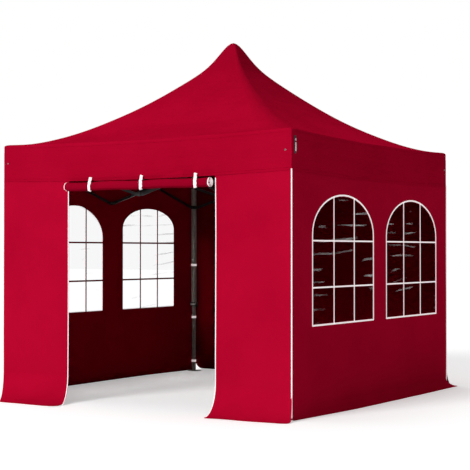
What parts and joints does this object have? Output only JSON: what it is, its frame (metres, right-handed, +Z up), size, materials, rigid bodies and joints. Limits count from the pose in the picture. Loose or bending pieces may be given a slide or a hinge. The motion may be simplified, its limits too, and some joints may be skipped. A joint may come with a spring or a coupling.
{
  "type": "pop up gazebo",
  "caption": "Square pop up gazebo with a folding scissor frame, concave peaked canopy, zipped side walls, arched windows and a rolled-up door.",
  "frame": {"origin": "on the ground at the middle of the plan", "axes": "+Z up, the doorway faces -Y"},
  "size_m": [3.192, 3.552, 3.2451],
  "materials": {
    "canopy_cloth": "coated woven polyester",
    "wall_cloth": "coated woven polyester",
    "white_tape": "woven tape",
    "clear_sheet": "soft clear sheet",
    "frame_steel": "powder coat",
    "black_plastic": "moulded"
  },
  "bodies": {
    "root": {"upper_hub": "black_plastic", "peak_pole": "frame_steel", "canopy": "canopy_cloth", "front_wall": "wall_cloth", "right_wall": "wall_cloth", "back_wall": "wall_cloth", "left_wall": "wall_cloth", "window_panes": "clear_sheet", "rolled_door": "wall_cloth", "door_ties": "white_tape"},
    "inner_bar_down_front": {"inner_bar_down_front": "frame_steel"},
    "inner_bar_up_front": {"inner_bar_up_front": "frame_steel"},
    "mid_bracket_lower_front": {"mid_bracket_lower_front": "black_plastic"},
    "mid_bracket_upper_front": {"mid_bracket_upper_front": "black_plastic"},
    "lower_hub": {"lower_hub": "black_plastic"},
    "side_bar_up_front_left": {"side_bar_up_front_left": "frame_steel"},
    "side_bar_down_front_left": {"side_bar_down_front_left": "frame_steel"},
    "outer_leg_front_left": {"outer_leg_front_left": "frame_steel"},
    "leg_slider_front_left": {"leg_slider_front_left": "black_plastic"},
    "inner_leg_front_left": {"inner_leg_front_left": "frame_steel"},
    "leg_lever_front_left": {"leg_lever_front_left": "black_plastic"},
    "side_bar_up_front_right": {"side_bar_up_front_right": "frame_steel"},
    "side_bar_down_front_right": {"side_bar_down_front_right": "frame_steel"},
    "outer_leg_front_right": {"outer_leg_front_right": "frame_steel"},
    "leg_slider_front_right": {"leg_slider_front_right": "black_plastic"},
    "inner_leg_front_right": {"inner_leg_front_right": "frame_steel"},
    "leg_lever_front_right": {"leg_lever_front_right": "black_plastic"},
    "inner_bar_down_right": {"inner_bar_down_right": "frame_steel"},
    "inner_bar_up_right": {"inner_bar_up_right": "frame_steel"},
    "mid_bracket_lower_right": {"mid_bracket_lower_right": "black_plastic"},
    "mid_bracket_upper_right": {"mid_bracket_upper_right": "black_plastic"},
    "side_bar_up_right_left": {"side_bar_up_right_left": "frame_steel"},
    "side_bar_down_right_left": {"side_bar_down_right_left": "frame_steel"},
    "side_bar_up_right_right": {"side_bar_up_right_right": "frame_steel"},
    "side_bar_down_right_right": {"side_bar_down_right_right": "frame_steel"},
    "inner_bar_down_back": {"inner_bar_down_back": "frame_steel"},
    "inner_bar_up_back": {"inner_bar_up_back": "frame_steel"},
    "mid_bracket_lower_back": {"mid_bracket_lower_back": "black_plastic"},
    "mid_bracket_upper_back": {"mid_bracket_upper_back": "black_plastic"},
    "side_bar_up_back_left": {"side_bar_up_back_left": "frame_steel"},
    "side_bar_down_back_left": {"side_bar_down_back_left": "frame_steel"},
    "outer_leg_back_right": {"outer_leg_back_right": "frame_steel"},
    "leg_slider_back_right": {"leg_slider_back_right": "black_plastic"},
    "inner_leg_back_right": {"inner_leg_back_right": "frame_steel"},
    "leg_lever_back_right": {"leg_lever_back_right": "black_plastic"},
    "side_bar_up_back_right": {"side_bar_up_back_right": "frame_steel"},
    "side_bar_down_back_right": {"side_bar_down_back_right": "frame_steel"},
    "outer_leg_back_left": {"outer_leg_back_left": "frame_steel"},
    "leg_slider_back_left": {"leg_slider_back_left": "black_plastic"},
    "inner_leg_back_left": {"inner_leg_back_left": "frame_steel"},
    "leg_lever_back_left": {"leg_lever_back_left": "black_plastic"},
    "inner_bar_down_left": {"inner_bar_down_left": "frame_steel"},
    "inner_bar_up_left": {"inner_bar_up_left": "frame_steel"},
    "mid_bracket_lower_left": {"mid_bracket_lower_left": "black_plastic"},
    "mid_bracket_upper_left": {"mid_bracket_upper_left": "black_plastic"},
    "side_bar_up_left_left": {"side_bar_up_left_left": "frame_steel"},
    "side_bar_down_left_left": {"side_bar_down_left_left": "frame_steel"},
    "side_bar_up_left_right": {"side_bar_up_left_right": "frame_steel"},
    "side_bar_down_left_right": {"side_bar_down_left_right": "frame_steel"}
  },
  "joints": [
    {"name": "frame_fold", "type": "hinge", "parent": "root", "child": "inner_bar_down_front", "pos_m": [0, -0.04, 2.205], "axis": [1, 0, 0], "range_deg": [0, 70], "deforming": ["canopy", "front_wall", "right_wall", "back_wall", "left_wall", "window_panes", "rolled_door", "door_ties"]},
    {"name": "inner_cross_front", "type": "hinge", "parent": "inner_bar_down_front", "child": "inner_bar_up_front", "pos_m": [0, -0.7275, 1.995], "axis": [1, 0, 0], "range_deg": [-140, 0]},
    {"name": "mid_lower_pivot_front", "type": "hinge", "parent": "inner_bar_down_front", "child": "mid_bracket_lower_front", "pos_m": [0, -1.415, 1.785], "axis": [1, 0, 0], "range_deg": [-70, 0]},
    {"name": "mid_upper_pivot_front", "type": "hinge", "parent": "inner_bar_up_front", "child": "mid_bracket_upper_front", "pos_m": [0, -1.415, 2.205], "axis": [1, 0, 0], "range_deg": [0, 70]},
    {"name": "lower_hub_pivot", "type": "hinge", "parent": "inner_bar_up_front", "child": "lower_hub", "pos_m": [0, -0.04, 1.785], "axis": [1, 0, 0], "range_deg": [0, 70]},
    {"name": "side_fold_front_left", "type": "hinge", "parent": "mid_bracket_lower_front", "child": "side_bar_up_front_left", "pos_m": [-0.03, -1.455, 1.785], "axis": [0, 1, 0], "range_deg": [0, 70]},
    {"name": "side_cross_front_left", "type": "hinge", "parent": "side_bar_up_front_left", "child": "side_bar_down_front_left", "pos_m": [-0.7175, -1.455, 1.995], "axis": [0, 1, 0], "range_deg": [-140, 0]},
    {"name": "leg_top_pivot_front_left", "type": "hinge", "parent": "side_bar_up_front_left", "child": "outer_leg_front_left", "pos_m": [-1.405, -1.455, 2.205], "axis": [0, 1, 0], "range_deg": [-70, 0]},
    {"name": "slider_pivot_front_left", "type": "hinge", "parent": "side_bar_down_front_left", "child": "leg_slider_front_left", "pos_m": [-1.405, -1.455, 1.785], "axis": [0, 1, 0], "range_deg": [0, 70]},
    {"name": "leg_slide_front_left", "type": "slide", "parent": "outer_leg_front_left", "child": "inner_leg_front_left", "axis": [0, 0, 1], "range_m": [0, 0.6]},
    {"name": "leg_lock_front_left", "type": "hinge", "parent": "outer_leg_front_left", "child": "leg_lever_front_left", "pos_m": [-1.455, -1.4236, 0.741], "axis": [1, 0, 0], "range_deg": [0, 60]},
    {"name": "side_fold_front_right", "type": "hinge", "parent": "mid_bracket_lower_front", "child": "side_bar_up_front_right", "pos_m": [0.03, -1.455, 1.785], "axis": [0, 1, 0], "range_deg": [-70, 0]},
    {"name": "side_cross_front_right", "type": "hinge", "parent": "side_bar_up_front_right", "child": "side_bar_down_front_right", "pos_m": [0.7175, -1.455, 1.995], "axis": [0, 1, 0], "range_deg": [0, 140]},
    {"name": "leg_top_pivot_front_right", "type": "hinge", "parent": "side_bar_up_front_right", "child": "outer_leg_front_right", "pos_m": [1.405, -1.455, 2.205], "axis": [0, 1, 0], "range_deg": [0, 70]},
    {"name": "slider_pivot_front_right", "type": "hinge", "parent": "side_bar_down_front_right", "child": "leg_slider_front_right", "pos_m": [1.405, -1.455, 1.785], "axis": [0, 1, 0], "range_deg": [-70, 0]},
    {"name": "leg_slide_front_right", "type": "slide", "parent": "outer_leg_front_right", "child": "inner_leg_front_right", "axis": [0, 0, 1], "range_m": [0, 0.6]},
    {"name": "leg_lock_front_right", "type": "hinge", "parent": "outer_leg_front_right", "child": "leg_lever_front_right", "pos_m": [1.4236, -1.455, 0.741], "axis": [0, 1, 0], "range_deg": [0, 60]},
    {"name": "inner_fold_right", "type": "hinge", "parent": "root", "child": "inner_bar_down_right", "pos_m": [0.04, 0, 2.205], "axis": [0, 1, 0], "range_deg": [0, 70]},
    {"name": "inner_cross_right", "type": "hinge", "parent": "inner_bar_down_right", "child": "inner_bar_up_right", "pos_m": [0.7275, 0, 1.995], "axis": [0, 1, 0], "range_deg": [-140, 0]},
    {"name": "mid_lower_pivot_right", "type": "hinge", "parent": "inner_bar_down_right", "child": "mid_bracket_lower_right", "pos_m": [1.415, 0, 1.785], "axis": [0, 1, 0], "range_deg": [-70, 0]},
    {"name": "mid_upper_pivot_right", "type": "hinge", "parent": "inner_bar_up_right", "child": "mid_bracket_upper_right", "pos_m": [1.415, 0, 2.205], "axis": [0, 1, 0], "range_deg": [0, 70]},
    {"name": "side_fold_right_left", "type": "hinge", "parent": "mid_bracket_lower_right", "child": "side_bar_up_right_left", "pos_m": [1.455, -0.03, 1.785], "axis": [-1, 0, 0], "range_deg": [0, 70]},
    {"name": "side_cross_right_left", "type": "hinge", "parent": "side_bar_up_right_left", "child": "side_bar_down_right_left", "pos_m": [1.455, -0.7175, 1.995], "axis": [-1, 0, 0], "range_deg": [-140, 0]},
    {"name": "side_fold_right_right", "type": "hinge", "parent": "mid_bracket_lower_right", "child": "side_bar_up_right_right", "pos_m": [1.455, 0.03, 1.785], "axis": [-1, 0, 0], "range_deg": [-70, 0]},
    {"name": "side_cross_right_right", "type": "hinge", "parent": "side_bar_up_right_right", "child": "side_bar_down_right_right", "pos_m": [1.455, 0.7175, 1.995], "axis": [-1, 0, 0], "range_deg": [0, 140]},
    {"name": "inner_fold_back", "type": "hinge", "parent": "root", "child": "inner_bar_down_back", "pos_m": [0, 0.04, 2.205], "axis": [-1, 0, 0], "range_deg": [0, 70]},
    {"name": "inner_cross_back", "type": "hinge", "parent": "inner_bar_down_back", "child": "inner_bar_up_back", "pos_m": [0, 0.7275, 1.995], "axis": [-1, 0, 0], "range_deg": [-140, 0]},
    {"name": "mid_lower_pivot_back", "type": "hinge", "parent": "inner_bar_down_back", "child": "mid_bracket_lower_back", "pos_m": [0, 1.415, 1.785], "axis": [-1, 0, 0], "range_deg": [-70, 0]},
    {"name": "mid_upper_pivot_back", "type": "hinge", "parent": "inner_bar_up_back", "child": "mid_bracket_upper_back", "pos_m": [0, 1.415, 2.205], "axis": [-1, 0, 0], "range_deg": [0, 70]},
    {"name": "side_fold_back_left", "type": "hinge", "parent": "mid_bracket_lower_back", "child": "side_bar_up_back_left", "pos_m": [0.03, 1.455, 1.785], "axis": [0, -1, 0], "range_deg": [0, 70]},
    {"name": "side_cross_back_left", "type": "hinge", "parent": "side_bar_up_back_left", "child": "side_bar_down_back_left", "pos_m": [0.7175, 1.455, 1.995], "axis": [0, -1, 0], "range_deg": [-140, 0]},
    {"name": "leg_top_pivot_back_right", "type": "hinge", "parent": "side_bar_up_back_left", "child": "outer_leg_back_right", "pos_m": [1.405, 1.455, 2.205], "axis": [0, -1, 0], "range_deg": [-70, 0]},
    {"name": "slider_pivot_back_right", "type": "hinge", "parent": "side_bar_down_back_left", "child": "leg_slider_back_right", "pos_m": [1.405, 1.455, 1.785], "axis": [0, -1, 0], "range_deg": [0, 70]},
    {"name": "leg_slide_back_right", "type": "slide", "parent": "outer_leg_back_right", "child": "inner_leg_back_right", "axis": [0, 0, 1], "range_m": [0, 0.6]},
    {"name": "leg_lock_back_right", "type": "hinge", "parent": "outer_leg_back_right", "child": "leg_lever_back_right", "pos_m": [1.455, 1.4236, 0.741], "axis": [-1, 0, 0], "range_deg": [0, 60]},
    {"name": "side_fold_back_right", "type": "hinge", "parent": "mid_bracket_lower_back", "child": "side_bar_up_back_right", "pos_m": [-0.03, 1.455, 1.785], "axis": [0, -1, 0], "range_deg": [-70, 0]},
    {"name": "side_cross_back_right", "type": "hinge", "parent": "side_bar_up_back_right", "child": "side_bar_down_back_right", "pos_m": [-0.7175, 1.455, 1.995], "axis": [0, -1, 0], "range_deg": [0, 140]},
    {"name": "leg_top_pivot_back_left", "type": "hinge", "parent": "side_bar_up_back_right", "child": "outer_leg_back_left", "pos_m": [-1.405, 1.455, 2.205], "axis": [0, -1, 0], "range_deg": [0, 70]},
    {"name": "slider_pivot_back_left", "type": "hinge", "parent": "side_bar_down_back_right", "child": "leg_slider_back_left", "pos_m": [-1.405, 1.455, 1.785], "axis": [0, -1, 0], "range_deg": [-70, 0]},
    {"name": "leg_slide_back_left", "type": "slide", "parent": "outer_leg_back_left", "child": "inner_leg_back_left", "axis": [0, 0, 1], "range_m": [0, 0.6]},
    {"name": "leg_lock_back_left", "type": "hinge", "parent": "outer_leg_back_left", "child": "leg_lever_back_left", "pos_m": [-1.4236, 1.455, 0.741], "axis": [0, -1, 0], "range_deg": [0, 60]},
    {"name": "inner_fold_left", "type": "hinge", "parent": "root", "child": "inner_bar_down_left", "pos_m": [-0.04, 0, 2.205], "axis": [0, -1, 0], "range_deg": [0, 70]},
    {"name": "inner_cross_left", "type": "hinge", "parent": "inner_bar_down_left", "child": "inner_bar_up_left", "pos_m": [-0.7275, 0, 1.995], "axis": [0, -1, 0], "range_deg": [-140, 0]},
    {"name": "mid_lower_pivot_left", "type": "hinge", "parent": "inner_bar_down_left", "child": "mid_bracket_lower_left", "pos_m": [-1.415, 0, 1.785], "axis": [0, -1, 0], "range_deg": [-70, 0]},
    {"name": "mid_upper_pivot_left", "type": "hinge", "parent": "inner_bar_up_left", "child": "mid_bracket_upper_left", "pos_m": [-1.415, 0, 2.205], "axis": [0, -1, 0], "range_deg": [0, 70]},
    {"name": "side_fold_left_left", "type": "hinge", "parent": "mid_bracket_lower_left", "child": "side_bar_up_left_left", "pos_m": [-1.455, 0.03, 1.785], "axis": [1, 0, 0], "range_deg": [0, 70]},
    {"name": "side_cross_left_left", "type": "hinge", "parent": "side_bar_up_left_left", "child": "side_bar_down_left_left", "pos_m": [-1.455, 0.7175, 1.995], "axis": [1, 0, 0], "range_deg": [-140, 0]},
    {"name": "side_fold_left_right", "type": "hinge", "parent": "mid_bracket_lower_left", "child": "side_bar_up_left_right", "pos_m": [-1.455, -0.03, 1.785], "axis": [1, 0, 0], "range_deg": [-70, 0]},
    {"name": "side_cross_left_right", "type": "hinge", "parent": "side_bar_up_left_right", "child": "side_bar_down_left_right", "pos_m": [-1.455, -0.7175, 1.995], "axis": [1, 0, 0], "range_deg": [0, 140]}
  ],
  "couplings": [
    {"joint": "inner_cross_front", "follows": "frame_fold", "ratio": -2},
    {"joint": "mid_lower_pivot_front", "follows": "frame_fold", "ratio": -1},
    {"joint": "mid_upper_pivot_front", "follows": "frame_fold", "ratio": 1},
    {"joint": "lower_hub_pivot", "follows": "frame_fold", "ratio": 1},
    {"joint": "side_fold_front_left", "follows": "frame_fold", "ratio": 1},
    {"joint": "side_cross_front_left", "follows": "frame_fold", "ratio": -2},
    {"joint": "leg_top_pivot_front_left", "follows": "frame_fold", "ratio": -1},
    {"joint": "slider_pivot_front_left", "follows": "frame_fold", "ratio": 1},
    {"joint": "side_fold_front_right", "follows": "frame_fold", "ratio": -1},
    {"joint": "side_cross_front_right", "follows": "frame_fold", "ratio": 2},
    {"joint": "leg_top_pivot_front_right", "follows": "frame_fold", "ratio": 1},
    {"joint": "slider_pivot_front_right", "follows": "frame_fold", "ratio": -1},
    {"joint": "inner_fold_right", "follows": "frame_fold", "ratio": 1},
    {"joint": "inner_cross_right", "follows": "frame_fold", "ratio": -2},
    {"joint": "mid_lower_pivot_right", "follows": "frame_fold", "ratio": -1},
    {"joint": "mid_upper_pivot_right", "follows": "frame_fold", "ratio": 1},
    {"joint": "side_fold_right_left", "follows": "frame_fold", "ratio": 1},
    {"joint": "side_cross_right_left", "follows": "frame_fold", "ratio": -2},
    {"joint": "side_fold_right_right", "follows": "frame_fold", "ratio": -1},
    {"joint": "side_cross_right_right", "follows": "frame_fold", "ratio": 2},
    {"joint": "inner_fold_back", "follows": "frame_fold", "ratio": 1},
    {"joint": "inner_cross_back", "follows": "frame_fold", "ratio": -2},
    {"joint": "mid_lower_pivot_back", "follows": "frame_fold", "ratio": -1},
    {"joint": "mid_upper_pivot_back", "follows": "frame_fold", "ratio": 1},
    {"joint": "side_fold_back_left", "follows": "frame_fold", "ratio": 1},
    {"joint": "side_cross_back_left", "follows": "frame_fold", "ratio": -2},
    {"joint": "leg_top_pivot_back_right", "follows": "frame_fold", "ratio": -1},
    {"joint": "slider_pivot_back_right", "follows": "frame_fold", "ratio": 1},
    {"joint": "side_fold_back_right", "follows": "frame_fold", "ratio": -1},
    {"joint": "side_cross_back_right", "follows": "frame_fold", "ratio": 2},
    {"joint": "leg_top_pivot_back_left", "follows": "frame_fold", "ratio": 1},
    {"joint": "slider_pivot_back_left", "follows": "frame_fold", "ratio": -1},
    {"joint": "inner_fold_left", "follows": "frame_fold", "ratio": 1},
    {"joint": "inner_cross_left", "follows": "frame_fold", "ratio": -2},
    {"joint": "mid_lower_pivot_left", "follows": "frame_fold", "ratio": -1},
    {"joint": "mid_upper_pivot_left", "follows": "frame_fold", "ratio": 1},
    {"joint": "side_fold_left_left", "follows": "frame_fold", "ratio": 1},
    {"joint": "side_cross_left_left", "follows": "frame_fold", "ratio": -2},
    {"joint": "side_fold_left_right", "follows": "frame_fold", "ratio": -1},
    {"joint": "side_cross_left_right", "follows": "frame_fold", "ratio": 2}
  ]
}
